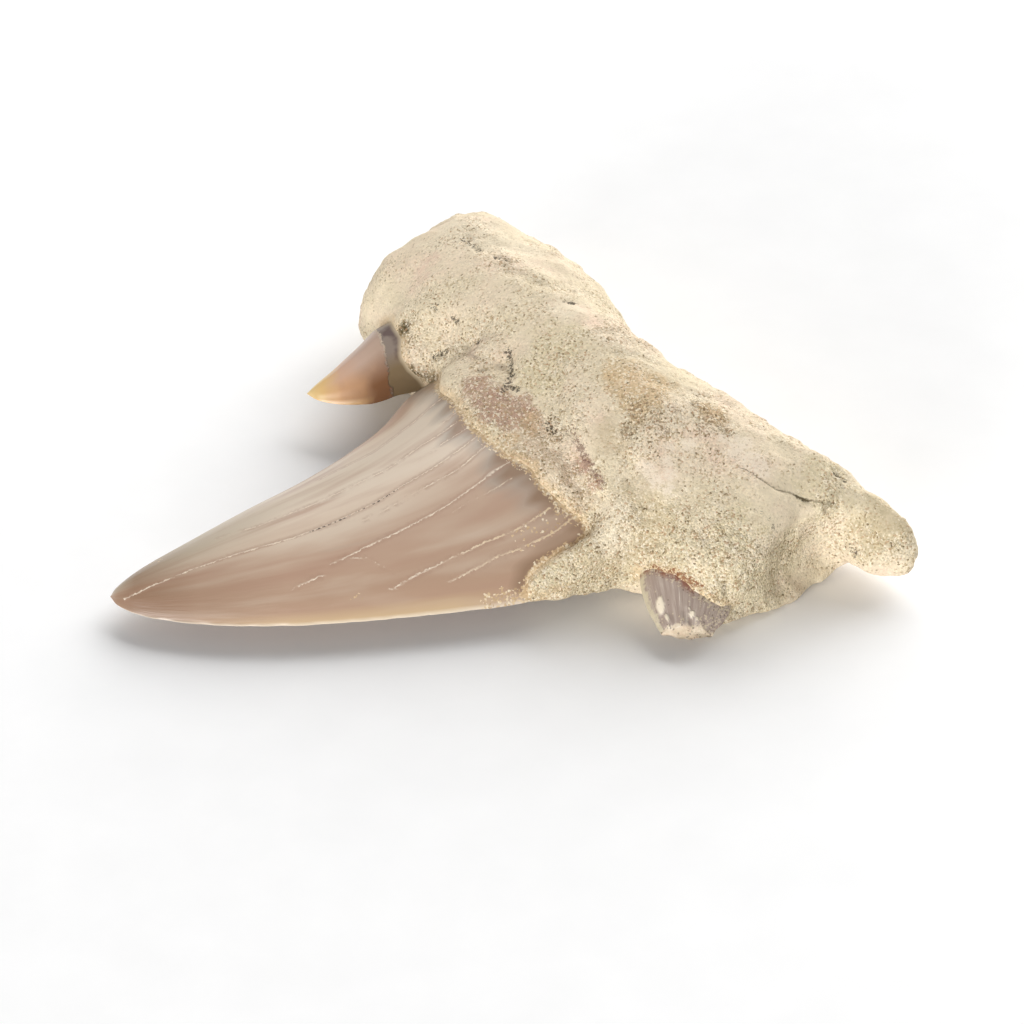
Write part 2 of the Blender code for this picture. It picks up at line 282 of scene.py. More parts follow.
def buildBlade(name, shape, cracks=None):
    rows, station = smoothRows(shape["sections"], shape["rows"])
    rings, across = bladeRings(rows, shape["upper"], shape["lower"])
    count, around = rings.shape[:2]
    points = rings.reshape(-1, 3)
    station = np.repeat(station, around)
    across = np.tile(across, count)
    onTop = np.tile(np.arange(around) < shape["upper"], count)
    halfWidth = np.repeat(np.linalg.norm(rows[:, 3:6] - rows[:, 0:3], axis=1) / 2, around)
    tip = np.array(shape["tip"])
    tipDistance = np.linalg.norm(points - tip, axis=1)
    values = {"station": station, "across": across, "tipDistance": tipDistance, "onTop": onTop}
    # outwards, and none at the cutting edges and the tip
    lift = np.where(onTop, 1.0, -1.0) * fade(1 - np.abs(across), 0.0, 0.15) * fade(tipDistance, 0.0, 4.0)
    growth = np.column_stack([tipDistance / growthLength, across * growthLumps, np.where(onTop, 0.0, 9.0)])
    points[:, 2] += shape["swell"] * noiseAt(growth, 1.0, 3.3) * lift
    if cracks:
        for family, lines in cracks.items():
            gap, strength = crackField(lines, station, across, halfWidth, points[:, :2], onTop)
            values[family] = gap
            values[family + "Strength"] = strength
            points[:, 2] -= shape["groove"] * strength * fade(np.abs(gap), *shape["crackSlope"]) * lift
        x, y, wider = shape["wideCrack"]
        gap = np.hypot(points[:, 0] - x, points[:, 1] - y)
        values["crackWidth"] = 1 + wider * fade(gap, *shape["wideReach"])
    if "ragged" in shape:
        torn = shape["ragged"] * fade(station, station.max() - 0.8, station.max())  # its last 0.8 section
        points[:, 1] += torn * noiseAt(points, 1.2, 2.7)
        points[:, 2] += torn * noiseAt(points, 0.9, 6.1)
    if "chips" in shape:
        gap = np.full(len(points), 9.0)
        for acrossAt, stationAt, wide, long in shape["chips"]:
            gap = np.minimum(gap, np.hypot((across - acrossAt) / wide, (station - stationAt) / long))
        values["chip"] = fade(gap + 0.4 * noiseAt(points, 0.7, 4.4), 1.15, 0.85) * onTop
    edge = fade(np.abs(across), 0.97, 1.0) * fade(tipDistance, 1.0, 5.0)
    points[:, 1] += shape["edgeNick"] * edge * noiseAt(points, 1.3, 7.7)
    return skinOver(name, [points.reshape(rings.shape)], values)


wholeCuspShape = {
    "sections": [
        (-7.5, 27.0, 8.5, -6.5, 19.0, 6.0, 10.8, 1.0),
        (-12.9, 26.8, 7.2, -10.7, 18.2, 5.7, 9.6, 0.9),
        (-15.5, 23.9, 6.6, -13.6, 17.4, 5.2, 8.4, 0.8),
        (-17.6, 21.5, 6.0, -16.6, 17.5, 5.0, 7.0, 0.6),
        (-19.2, 20.1, 5.4, -18.8, 18.1, 5.0, 5.9, 0.3),
        (-20.1, 19.2, 5.0, -20.1, 19.2, 5.0, 5.0, 0.0),
    ],
    "rows": 90, "upper": 64, "lower": 32,
    "tip": (-20.1, 19.2, 5.0), "edgeNick": 0.08, "swell": 0.08,
}
brokenCuspShape = {
    "sections": [
        (13.0, -2.0, 5.5, 23.0, -4.5, 6.0, 9.0, 1.0),
        (11.9, -6.6, 4.2, 20.6, -9.2, 4.6, 7.2, 0.9),
        (12.4, -9.8, 3.0, 20.0, -11.4, 3.2, 5.2, 0.8),
        (13.8, -13.0, 2.0, 18.5, -13.2, 2.2, 3.1, 0.5),
    ],
    "rows": 80, "upper": 64, "lower": 32,
    "tip": (16.2, -13.1, 2.1), "edgeNick": 0.15, "swell": 0.12,
    "ragged": 0.4,  # mm that the broken end is uneven
    # chips in the face: where across and along it, and how wide and long
    "chips": [(-0.72, 2.25, 0.11, 0.26), (-0.64, 2.60, 0.05, 0.13), (0.15, 2.62, 0.10, 0.09),
              (0.30, 2.72, 0.06, 0.06), (0.05, 2.45, 0.04, 0.05)],
}

crownMesh = buildBlade("crown", crownShape, crownCracks)
wholeCuspMesh = buildBlade("wholeCusp", wholeCuspShape)
brokenCuspMesh = buildBlade("brokenCusp", brokenCuspShape)
print("enamel blades:", [len(m.polygons) for m in (crownMesh, wholeCuspMesh, brokenCuspMesh)])


# Root with its crust of cemented sand.
# Sections from the wide lobe's end: widest on the crown side, ridge, widest on the basal side, underside.

rootShape = {
    "root": [
        (-9.6, 40.0, 7.5, -9.6, 40.0, 7.5, -9.6, 40.0, 7.5, 7.5),
        (-12.6, 36.4, 7.0, -8.6, 38.6, 11.0, -4.8, 43.8, 7.0, 1.5),
        (-14.7, 31.4, 6.8, -6.0, 34.4, 14.3, 0.4, 41.2, 6.8, 0.0),
        (-12.8, 26.2, 6.5, -3.0, 28.4, 15.8, 6.4, 34.1, 6.5, -0.3),
        (-9.4, 20.9, 6.0, 0.8, 21.8, 16.4, 10.3, 27.4, 6.5, -0.4),
        (-5.2, 14.0, 5.5, 4.2, 15.6, 16.5, 12.8, 21.6, 6.5, -0.4),
        (-1.6, 7.2, 5.0, 8.2, 10.2, 16.3, 16.6, 16.8, 6.5, -0.4),
        (4.0, 0.3, 4.8, 11.0, 6.8, 15.9, 19.0, 14.6, 6.5, -0.4),
        (7.2, -4.6, 4.2, 13.8, 4.0, 15.2, 21.9, 11.9, 6.5, -0.4),
        (9.0, -6.7, 3.4, 17.5, 1.0, 14.5, 25.4, 8.6, 6.3, -0.4),
        (12.2, -7.6, 3.2, 21.5, -1.0, 13.4, 28.7, 5.4, 6.0, -0.4),
        (17.0, -11.0, 3.2, 25.0, -2.2, 12.2, 31.6, 3.2, 6.0, -0.4),
        (22.0, -10.0, 3.2, 28.0, -2.4, 11.0, 34.0, 1.3, 5.6, 0.2),
        (25.2, -5.4, 3.4, 31.2, -2.4, 10.0, 35.8, -0.5, 5.4, 0.9),
        (29.4, -2.6, 3.8, 34.2, -3.0, 8.5, 37.1, -2.4, 5.2, 1.4),
        (33.9, -4.9, 4.0, 36.5, -4.3, 6.9, 37.9, -4.0, 5.0, 1.8),
        (37.7, -5.2, 4.7, 37.7, -5.2, 4.7, 37.7, -5.2, 4.7, 4.7),
    ],
    "neck": [  # band of crust between the enamel and the root's step
        (-7.4, 17.2, 7.8, -6.0, 18.2, 9.8, -4.4, 19.4, 9.2, 6.0),
        (-6.5, 12.6, 10.5, -3.9, 13.4, 12.9, -1.2, 14.6, 12.8, 8.0),
        (-5.4, 8.2, 11.5, -2.4, 10.2, 13.5, 0.3, 12.4, 13.2, 8.5),
        (-4.2, 4.6, 11.8, -1.2, 6.8, 13.8, 1.8, 8.9, 13.5, 9.0),
        (-2.2, 2.0, 11.6, 0.8, 4.0, 13.6, 3.3, 5.9, 13.4, 8.5),
        (0.4, 0.2, 11.1, 3.0, 1.8, 12.9, 5.4, 3.2, 12.8, 8.0),
        (3.0, -2.1, 9.7, 5.2, -0.5, 11.6, 7.3, 0.9, 11.8, 7.0),
        (5.3, -3.5, 8.1, 7.1, -2.3, 9.9, 9.0, -1.0, 10.0, 5.5),
        (6.9, -4.7, 6.7, 8.4, -4.0, 8.0, 10.2, -2.6, 8.4, 4.0),
    ],
    "apron": [  # tongue of crust round the crown's near corner
        (1.4, -5.2, 3.8, 1.4, -8.8, 5.0, 1.4, -9.7, 3.5, 2.4),
        (3.6, -4.8, 4.5, 3.7, -7.9, 6.6, 4.1, -9.0, 3.6, 2.0),
        (6.2, -4.0, 5.0, 6.6, -6.7, 7.8, 7.3, -7.7, 3.8, 1.4),
        (9.4, -3.0, 6.0, 10.0, -4.8, 9.8, 10.6, -7.0, 4.0, 0.6),
    ],
    "facets": {"root": (320, 136, 64), "neck": (144, 48, 24), "apron": (80, 48, 24)},
    "voxel": 0.29,  # mm between the crust's points, about a grain
    # length and height in mm, and where in the noise: the first two as in the solid, the others finer
    "lumps": (7.0, 0.8, 0.0), "knobs": (2.8, 0.45, 0.0), "crumbs": (1.3, 0.22, 2.1), "grit": (0.6, 0.15, 8.4),
    "smoothing": 24,  # rounds that even out the joins between the lofts
    # x, y, z, radius and height: crust round the whole cusp's foot, and between the neck and the root
    "swells": [(-9.4, 23.4, 9.5, 5.5, 0.95), (-3.0, 14.2, 12.8, 3.0, 0.9), (-5.2, 15.2, 11.4, 2.4, 0.6),
               (-9.4, 20.6, 8.0, 2.6, 0.7)],
    # how coarse the crust is: plain, by noise (length, share, where in the noise), by marks, and its range
    "coarse": 0.70, "coarseNoise": [(5.0, 0.55, 4.2), (1.8, 0.35, 3.1)],
    "coarseMarks": {"greenSand": 0.35, "brownGrit": 0.5, "mauve": 0.4, "neckSand": 0.45, "ochre": 0.35,
                    "smooth": -0.4, "chalk": -0.1},
    "coarseRange": (0.34, 1.15),
    "wornLip": (0.4, 0.1, 0.9),  # share of it left at the enamel, and mm from there where it grows and is whole
    "lipReach": (1.3, 0.3), "holeDepth": 0.35, "holeReach": (0.5, 0.1),  # mm
    "apronTip": (1.4, -9.3), "tipReach": 7.0,
    "ledgeStart": (2.1, 6.0), "ledgeEnd": (8.3, -3.7), "ledgeRise": 0.6, "ledgeSlope": 0.8, "ledgeFade": 6.0,
}
lobeCrack = {
    "route": [(20.4, -1.6, 13.3), (21.6, -2.4, 13.2), (22.9, -3.1, 12.9), (24.1, -3.7, 12.1),
              (25.4, -3.5, 10.9), (26.7, -3.4, 10.3), (27.4, -3.4, 10.1), (29.0, -3.4, 9.5), (30.1, -3.1, 7.8)],
    "halfWidth": 0.4, "depth": 0.4, "wander": 0.3,  # mm
    "darkest": 0.66,  # where it gapes, as a share of the route
}
# Marks on the crust, each from spots of (x, y, z, radius) in mm
crustMarks = {
    "greenSand": [
        (4.5, -8.0, 4.5, 4.5), (9.0, -7.0, 5.5, 5.0), (14.0, -8.0, 7.0, 5.0), (19.0, -9.0, 6.0, 5.0),
        (23.0, -8.5, 4.0, 5.0), (13.0, -5.5, 9.5, 3.5), (20.0, -7.0, 9.5, 3.5), (26.0, -5.5, 5.0, 3.0),
        (4.6, 13.2, 15.6, 3.4), (3.0, 9.6, 14.6, 2.6), (34.0, -3.6, 7.6, 3.6), (29.0, -1.5, 10.5, 3.6),
    ],
    "chalk": [
        (14.5, -0.4, 14.1, 0.8), (14.4, -1.6, 13.4, 0.8), (14.4, -2.9, 12.9, 0.9), (14.4, -4.1, 12.1, 0.8),
        (13.2, -3.3, 12.6, 0.9), (12.5, -2.2, 13.1, 1.1), (16.5, 0.0, 14.1, 1.0), (20.7, -0.3, 13.6, 1.4),
        (22.0, -1.4, 13.5, 1.4), (23.1, -2.2, 13.1, 1.1), (21.2, 0.6, 13.8, 1.3), (19.6, 0.9, 14.1, 0.8),
    ],
    "ochre": [(12.2, 4.5, 15.9, 3.0), (10.4, 7.8, 16.4, 2.6), (13.4, 7.0, 16.0, 2.6), (18.8, 4.0, 14.9, 1.6)],
    "brownGrit": [
        (11.6, 3.2, 15.8, 1.8), (12.9, 2.0, 15.4, 1.6), (13.6, 1.0, 15.0, 1.2), (10.8, 1.4, 14.9, 1.3),
        (15.2, 3.2, 15.3, 1.3), (17.4, 5.0, 15.2, 1.2), (18.5, 3.6, 14.7, 1.9), (19.9, 2.4, 14.3, 1.5),
        (18.0, 1.8, 14.5, 1.4), (3.6, 3.9, 13.3, 1.3), (4.0, 2.6, 13.0, 1.2), (9.4, 15.6, 16.2, 1.3),
        (7.4, -4.4, 8.4, 1.0), (12.6, -7.2, 5.3, 0.9), (18.9, -10.9, 5.2, 1.2), (19.9, -11.3, 3.6, 0.9),
        (-0.6, 25.6, 16.3, 1.0), (4.0, 28.6, 15.6, 1.0),
    ],
    "mauve": [(-1.6, 6.8, 13.7, 2.4), (0.6, 5.6, 13.4, 2.0), (-3.4, 9.6, 13.5, 1.8), (-0.4, 4.6, 13.2, 1.5),
              (0.8, 7.1, 13.8, 1.2), (-2.5, 7.3, 13.6, 1.6), (1.9, 4.4, 12.8, 1.2), (6.6, -0.6, 12.2, 1.2),
              (7.6, -2.0, 11.4, 1.0)],
    "neckSand": [(-1.6, 7.0, 13.6, 2.6), (0.4, 4.6, 13.2, 2.4), (2.0, 2.4, 12.5, 2.2), (3.0, 0.2, 11.8, 2.2),
                 (1.0, 1.4, 12.1, 1.6), (4.8, -0.8, 11.0, 2.0), (6.6, -2.6, 9.8, 1.5)],
    "paleSand": [(8.6, -5.2, 9.3, 2.4), (5.2, 17.5, 16.4, 2.2), (9.4, -6.4, 7.8, 1.6), (9.8, -5.3, 9.9, 2.0),
                 (-4.6, 32.0, 14.8, 4.5), (0.4, 29.6, 15.2, 3.5)],
    "dimSand": [(12.0, -5.2, 9.6, 4.0), (34.5, -3.8, 7.4, 3.5), (8.0, -6.5, 6.5, 3.0), (9.6, 0.6, 14.4, 2.4)],
    # olive: the first spot is a real olive spot, the other two are painted shade in the notch between the whole
    # cusp and the crown
    "oliveSpotAndNotchShade": [(-10.6, 22.4, 10.6, 0.95), (-9.6, 18.4, 6.8, 2.1), (-8.4, 18.0, 7.4, 1.7)],
    "smooth": [(-9.0, 36.0, 12.0, 7.0), (3.0, 30.0, 13.0, 6.0), (25.0, -4.4, 10.5, 3.5), (27.0, 0.0, 12.0, 3.0),
               (33.5, -3.0, 8.0, 3.5), (-12.0, 30.0, 9.0, 4.0), (-7.0, 20.6, 10.8, 1.6),
               (-4.0, 37.0, 12.4, 5.5), (-1.0, 33.0, 13.5, 4.0)],
}
# Lines on the crust, with how far each wanders, and mm from it where it ends and where it is full
crustLines = {
    "shadedHoles": {"wander": 0.0, "edge": (0.8, 0.1), "routes": [  # rows of small holes, sunk a little; their dark colour is painted shade
        [(-4.9, 30.3, 15.6), (-3.8, 28.9, 15.8), (-3.2, 27.8, 16.0)],
        [(-1.6, 26.4, 16.3), (-0.7, 25.7, 16.3)], [(-7.6, 22.4, 13.3), (-7.3, 22.0, 13.3)],
        [(-5.6, 20.4, 13.4), (-5.1, 19.9, 13.4)], [(-3.3, 16.6, 13.3), (-3.0, 15.9, 13.4)],
        [(-0.4, 13.9, 14.5), (-0.2, 11.9, 14.2), (-0.1, 10.5, 14.2), (-0.8, 8.5, 13.9)],
        [(0.1, 9.0, 14.0), (0.5, 8.4, 14.0)], [(-7.6, 19.1, 9.7), (-6.4, 18.4, 10.8)],
        [(5.1, 19.4, 16.2), (5.8, 19.2, 16.2)], [(30.1, 0.1, 10.5), (31.2, -0.2, 10.1)],
        [(31.5, -3.6, 4.8), (32.2, -3.9, 4.3)], [(3.2, 4.2, 13.3), (3.9, 3.3, 13.2)],
    ]},
    "faint": {"wander": 0.0, "edge": (0.6, 0.05), "routes": [
        [(21.9, -6.0, 11.5), (22.8, -6.3, 11.3), (24.0, -6.6, 10.3), (24.2, -6.9, 9.4)],
        [(27.4, -4.6, 9.6), (29.4, -5.0, 7.8), (30.4, -4.8, 6.6)],
    ]},
    "stepShade": {"wander": 0.3, "edge": (0.9, 0.1), "routes": [  # painted shade under the ledge
        [(5.4, 2.8, 13.6), (6.8, 0.2, 12.9), (8.3, -2.6, 11.4)],
    ]},
    "rust": {"wander": 0.3, "edge": (0.8, 0.1), "routes": [
        [(13.2, -7.8, 5.8), (14.8, -9.0, 6.2), (16.4, -9.9, 6.1), (17.4, -10.4, 5.9)],
    ]},
}


def reliefOf(points, *kinds):
    rows = [rootShape[kind] for kind in kinds]
    return sum(height * noiseAt(points, length, shift) for length, height, shift in rows)


def ledgeHeight(points):  # the step up from the neck band, as in the solid
    start, end = np.array(rootShape["ledgeStart"]), np.array(rootShape["ledgeEnd"])
    line = end - start
    gap = points[:, :2] - start
    length = np.linalg.norm(line)
    along = gap @ line / length ** 2
    beyond = -(gap[:, 0] * line[1] - gap[:, 1] * line[0]) / length
    window = np.clip(1 - np.clip(np.abs(along - 0.5) - 0.4, 0, None) / 0.35, 0, None)
    rise = rootShape["ledgeRise"] * window * np.clip(beyond / rootShape["ledgeSlope"], -1, 1)
    return rise * np.exp(-np.abs(beyond) / rootShape["ledgeFade"])


def markField(points, spots, warp):  # full within 0.45 of a spot's radius, and gone at 1.25
    field = np.zeros(len(points))
    for x, y, z, radius in spots:
        gap = np.linalg.norm(points + warp * radius * 0.45 - (x, y, z), axis=1)
        field = np.maximum(field, fade(gap, radius * 1.25, radius * 0.45))
    return field


def distanceTo(mesh, points, reach):  # shortest way in mm to another mesh, negative inside it
    tree = BVHTree.FromPolygons([v.co / mm for v in mesh.vertices], [p.vertices for p in mesh.polygons])
    gaps = np.full(len(points), reach)
    for k, p in enumerate((points - drawingCentre).tolist()):
        spot, normal, _, gap = tree.find_nearest(p, reach)
        if spot is not None:
            gaps[k] = gap if (Vector(p) - spot).dot(normal) > 0 else -gap
    return gaps


def buildCrust():
    ringSets = []
    for part, (rowCount, upper, lower) in rootShape["facets"].items():
        rows, _ = smoothRows(rootShape[part], rowCount)
        ringSets.append(rootRings(rows, upper, lower))
    smooth = newObject("smoothRoot", skinOver("smoothRoot", ringSets))
    skin = smooth.modifiers.new("skin", "REMESH")
    skin.mode = "VOXEL"
    skin.voxel_size = rootShape["voxel"] * mm
    even = smooth.modifiers.new("even", "SMOOTH")
    even.factor = 0.5
    even.iterations = rootShape["smoothing"]
    seen = smooth.evaluated_get(bpy.context.evaluated_depsgraph_get())
    mesh = bpy.data.meshes.new_from_object(seen)
    bpy.data.objects.remove(smooth)

    points = pointsOf(mesh)
    normals = np.empty(len(points) * 3)
    mesh.vertices.foreach_get("normal", normals)
    normals = normals.reshape(-1, 3)
    print("crust points:", len(points))

    tip = np.array(rootShape["apronTip"])
    thin = np.clip(np.linalg.norm(points[:, :2] - tip, axis=1) / rootShape["tipReach"], 0, 1)
    relief = reliefOf(points, "lumps", "knobs") + ledgeHeight(points) * (normals[:, 2] > 0)
    for x, y, z, radius, height in rootShape["swells"]:
        relief += height * fade(np.linalg.norm(points - (x, y, z), axis=1), radius, 0.2 * radius)
    points += normals * (relief * thin)[:, None]

    warp = np.column_stack([noiseAt(points, 2.2, shift) for shift in (1.5, 5.5, 9.5)])
    marks = {name: markField(points, spots, warp) for name, spots in crustMarks.items()}
    coarse = rootShape["coarse"] + sum(
        share * noiseAt(points, length, shift) for length, share, shift in rootShape["coarseNoise"])
    coarse += sum(share * marks[name] for name, share in rootShape["coarseMarks"].items())
    coarse = np.clip(coarse, *rootShape["coarseRange"])
    crumbs = reliefOf(points, "crumbs", "grit")
    nearEnamel = np.min([np.abs(distanceTo(blade, points, 1.5)) for blade in blades], axis=0)
    worn, wornAt, wholeAt = rootShape["wornLip"]
    calm = worn + (1 - worn) * fade(nearEnamel, wornAt, wholeAt)
    gaps = {}
    for name, line in crustLines.items():
        drawn = points + line["wander"] * warp
        gaps[name] = np.min([lineDistance(drawn, route)[0] for route in line["routes"]], axis=0)
        marks[name] = fade(gaps[name], *line["edge"])
    # the faint lines take the holes' dark colour, less strong
    marks["shadedHoles"] = np.maximum(marks["shadedHoles"], 0.7 * marks.pop("faint"))
    wander = points + lobeCrack["wander"] * warp
    gap, where = lineDistance(wander, lobeCrack["route"])
    gaping = fade(where, 0.0, 0.12) * fade(where, 1.0, 0.85)  # closed at both ends of the route
    gaping *= 0.45 + 0.55 * fade(np.abs(where - lobeCrack["darkest"]), 0.14, 0.05)
    groove = gaping * fade(gap, lobeCrack["halfWidth"], 0.05)
    routeX, routeY, _ = np.array(lobeCrack["route"]).T
    crackGap = wander[:, 1] - np.interp(wander[:, 0], routeX, routeY)  # signed, so that it passes through zero
    points += normals * (crumbs * coarse * calm * thin)[:, None]
    sunk = rootShape["holeDepth"] * fade(gaps["shadedHoles"], *rootShape["holeReach"])
    points -= normals * (sunk * np.clip(0.5 + noiseAt(points, 0.5), 0, 1))[:, None]
    points -= normals * (lobeCrack["depth"] * groove)[:, None]
    points[:, 2] = np.maximum(points[:, 2], 0.0)
    mesh.vertices.foreach_set("co", ((points - drawingCentre) * mm).ravel())
    mesh.update()

    marks.update(crack=gaping * fade(gap, 1.2, 0.6), crackGap=crackGap, coarse=coarse)
    for name, field in marks.items():
        giveValues(mesh, name, field)
    return mesh


blades = (crownMesh, wholeCuspMesh, brokenCuspMesh)
crustMesh = buildCrust()
crustPoints = pointsOf(crustMesh)
print("crust built:", len(crustMesh.polygons))

marginPoints = []
for blade in blades:
    bladePoints = pointsOf(blade)
    crustGap = distanceTo(crustMesh, bladePoints, 4.0)
    giveValues(blade, "crustGap", crustGap)
    marginPoints += bladePoints[np.abs(crustGap) < 0.12].tolist()
marginTree = KDTree(len(marginPoints))
for k, point in enumerate(marginPoints):
    marginTree.insert(point, k)
marginTree.balance()
marginGap = np.array([marginTree.find(p)[2] for p in crustPoints.tolist()])
giveValues(crustMesh, "lip", fade(marginGap, *rootShape["lipReach"]))
crownPoints = pointsOf(crownMesh)
giveValues(crownMesh, "soilInCrack", fade(lineDistance(crownPoints, crownShape["soiled"])[0], 1.2, 0.5))
film = np.zeros(len(crownPoints))
for route, thick, edge in crownShape["sandFilms"]:
    film = np.maximum(film, thick * fade(lineDistance(crownPoints[:, :2], route)[0], *edge))
for x, y, radius in crownShape["pits"]:
    film = np.maximum(film, fade(np.hypot(crownPoints[:, 0] - x, crownPoints[:, 1] - y), radius, 0.3 * radius))
giveValues(crownMesh, "sandFilm", film)
print("margins measured")


# Finishes, each worked up from what the real surface is

def layOver(add, colour, looks, values, layers):
    # Colours over one another, each a name, how much it covers, and ramps of (value, none at, full at)
    for name, most, ramps in layers:
        part = most
        for key, start, end in ramps:
            ramp = add("MapRange", values[key], start, end)
            part = add("Math", ramp, part, operation="MULTIPLY")
        colour = add("Mix", part, colour, paint(looks[name]), data_type="RGBA")
    return colour


crustLooks = {
    "tones": [(0.3, "#d6c7a9"), (0.45, "#dccdb1"), (0.58, "#e1cfb5"), (0.7, "#e2c9b2")],
    "greenSand": "#d4c6a5", "ochre": "#cfb083", "dimSand": "#bfae8e", "paleSand": "#e6d8be",
    # the olive colour is a real olive spot, and painted shade in the notch between the whole cusp and the crown
    "neckSand": "#c8b298", "mauve": "#b2937f", "lip": "#d3b890", "oliveSpotAndNotchShade": "#4f4226",
    # the dark grain colour is partly dark grains and partly painted shade in the pits between grains
    "brownGrain": "#ab9470", "darkGrain": "#78674c", "paleGrain": "#f6ead3", "rustGrain": "#bf9875",
    # the step line's colour is painted shade under the ledge
    "brownGrit": "#745d3e", "chalk": "#ebdcc7", "stepShade": "#7b5d50", "rust": "#86502f",
    # both colours on the next line are painted shade: in the small holes, and in the gaping crack across the
    # narrow lobe
    "shadedHoles": "#3a3329", "crackShade": "#43371f",
    # stains in the order that they lie, and how much each covers; the olive one is partly a stain and partly
    # painted shade in the notch
    "stains": (("greenSand", 0.9), ("ochre", 0.65), ("dimSand", 0.6), ("paleSand", 0.8), ("neckSand", 0.8),
               ("mauve", 0.95), ("lip", 0.6), ("oliveSpotAndNotchShade", 0.95)),
    # grains of other colours: the channel that picks them, their share, and how much each covers
    "grains": (("brownGrain", 1, 0.22, 0.75), ("darkGrain", 1, 0.035, 0.75), ("paleGrain", 2, 0.16, 0.65),
               ("rustGrain", 0, 0.06, 0.6)),
    # marks that break up into grains: how strong a mark has to be, and how much it covers; the holes and the
    # step line among them are painted shade
    "grit": (("brownGrit", 1.0, 0.65), ("chalk", 0.6, 0.8), ("stepShade", 0.75, 0.75), ("rust", 0.6, 0.8),
             ("shadedHoles", 0.8, 0.85)),
    "grain": 0.18,  # mm, fine sand
    "fleck": 0.33,  # mm, two or three grains of grit
    "cluster": 0.5,  # mm, grains that stuck together before they set
    "patch": 1.3,  # mm, how unevenly a stain soaked in
    "tone": 6.0,  # mm between broad tones
    "crackWidth": (0.07, 0.24),  # mm on each side of the crack's middle, where it is thin and where it gapes
    "relief": (1.0, 0.075),  # strength, and mm
    "roughness": 0.92, "ior": 1.5, "specular": 0.25,
}


def cementedSand():  # dull and pale, grain by grain, with brown grains and the shadows between them
    looks = crustLooks
    read = ["coarse", "crackGap", "crack"] + [name for name, *_ in looks["stains"] + looks["grit"]]
    material, add, place, values = newFinish("cementedSand", read)
    broad = add("TexNoise", place, Scale=1 / looks["tone"], Detail=4.0, Roughness=0.6)
    colour = add("ValToRGB", broad, stops=looks["tones"])
    patchy = add("TexNoise", place, Scale=1 / looks["patch"], Detail=5.0, Roughness=0.8)
    ragged = add("MapRange", patchy, 0.3, 0.7, -0.7, 0.7)
    for name, most in looks["stains"]:
        values["edge"] = add("Math", values[name], ragged, operation="ADD")
        colour = layOver(add, colour, looks, values, [(name, most, [("edge", 0.1, 1.1), (name, 0.0, 0.3)])])

    # each grain has its own tone, and some are brown, pale or rusty; the dark ones are partly dark grains and
    # partly painted shade in the pits between grains
    cells = add("TexVoronoi", place, Scale=1 / looks["grain"])
    own = add("SeparateColor", cells.outputs["Color"])
    swing = add("MapRange", own.outputs[0], 0.0, 1.0, -0.20, 0.18)
    tone = add("Math", swing, values["coarse"], 1.0, operation="MULTIPLY_ADD")
    colour = add("Mix", 1.0, colour, tone, data_type="RGBA", blend_type="MULTIPLY")
    clusters = add("TexNoise", place, Scale=1 / looks["cluster"], Detail=4.0, Roughness=0.8)
    gritty = add("MapRange", clusters, 0.35, 0.65, 0.2, 1.8)
    gritty = add("Math", gritty, values["coarse"], operation="MULTIPLY")
    for name, channel, share, most in looks["grains"]:
        often = add("Math", gritty, share, operation="MULTIPLY")
        values["chosen"] = add("Math", own.outputs[channel], often, operation="LESS_THAN")
        layer = (name, most, [("chosen", 0.0, 1.0), ("coarse", 0.0, 0.8)])
        colour = layOver(add, colour, looks, values, [layer])

    # stains that break up into grains, and the painted shade in the holes and under the ledge
    flecks = add("TexNoise", place, Scale=1 / looks["fleck"], Detail=3.0, Roughness=0.8)
    breakUp = add("MapRange", flecks, 0.3, 0.7, -0.9, 0.9)
    for name, need, most in looks["grit"]:
        values["reach"] = add("Math", values[name], breakUp, operation="ADD")
        layer = (name, most, [("reach", need, need + 0.35), (name, 0.02, 0.3)])
        colour = layOver(add, colour, looks, values, [layer])

    # the crack across the narrow lobe, hair thin but where it gapes; its dark colour is painted shade in the
    # gap
    jagged = add("MapRange", flecks, 0.3, 0.7, -0.12, 0.12)
    away = add("Math", values["crackGap"], jagged, operation="ADD")
    away = add("Math", away, operation="ABSOLUTE")
    wide = add("MapRange", values["crack"], 0.2, 1.0, *looks["crackWidth"])
    values["crackShade"] = add("MapRange", away, wide, 0.0)
    layer = ("crackShade", 0.9, [("crackShade", 0.1, 0.6), ("crack", 0.0, 0.8)])
    colour = layOver(add, colour, looks, values, [layer])

    # round grains, heaped where they clustered
    dome = add("MapRange", cells.outputs["Distance"], 0.0, 0.8, 0.8, 0.0)
    heap = add("Math", clusters, 2.2, dome, operation="MULTIPLY_ADD")
    heap = add("Math", heap, values["coarse"], operation="MULTIPLY")
    return giveShader(material, looks, colour, heap)


enamelLooks = {
    "across": [(0.0, "#b8957c"), (0.07, "#bf9f88"), (0.14, "#cfbda8"), (0.38, "#d2c2ae"), (0.54, "#cfbba6"),
               (0.74, "#b99e89"), (0.90, "#ad8f78"), (1.0, "#b3937a")],
    "tip": "#85644a", "tipGrey": "#ab9c86", "pale": "#d8cab7", "pink": "#aa8873", "edge": "#ccb087",
    "rim": "#f2e6d2", "bandBrown": "#8d7159", "bandGrey": "#a29689",
    "crack": "#efe1cb", "crackSide": "#a38470", "sandyCrack": "#d8bd93", "soil": "#4b4038",
    "film": [(0.1, "#b89b75"), (0.4, "#d0b48a"), (0.7, "#dec69f"), (0.95, "#f0e2c6")],
    "streaks": (15.0, 5.5),  # mm long, and how many across half the crown
    "crackReach": {"mainCracks": 0.078, "faintCracks": 0.065},  # mm on each side of a crack's middle
    "crackBreak": 1.4, "bead": 0.3, "grain": 0.2,  # mm: broken pieces of a crack, beads and grains in it
    "gloss": (0.38, 0.85),  # roughness of the enamel, satin with age, and of the sand on it
    "relief": (0.5, 0.04), "ior": 1.6,  # strength and mm; fluorapatite
}


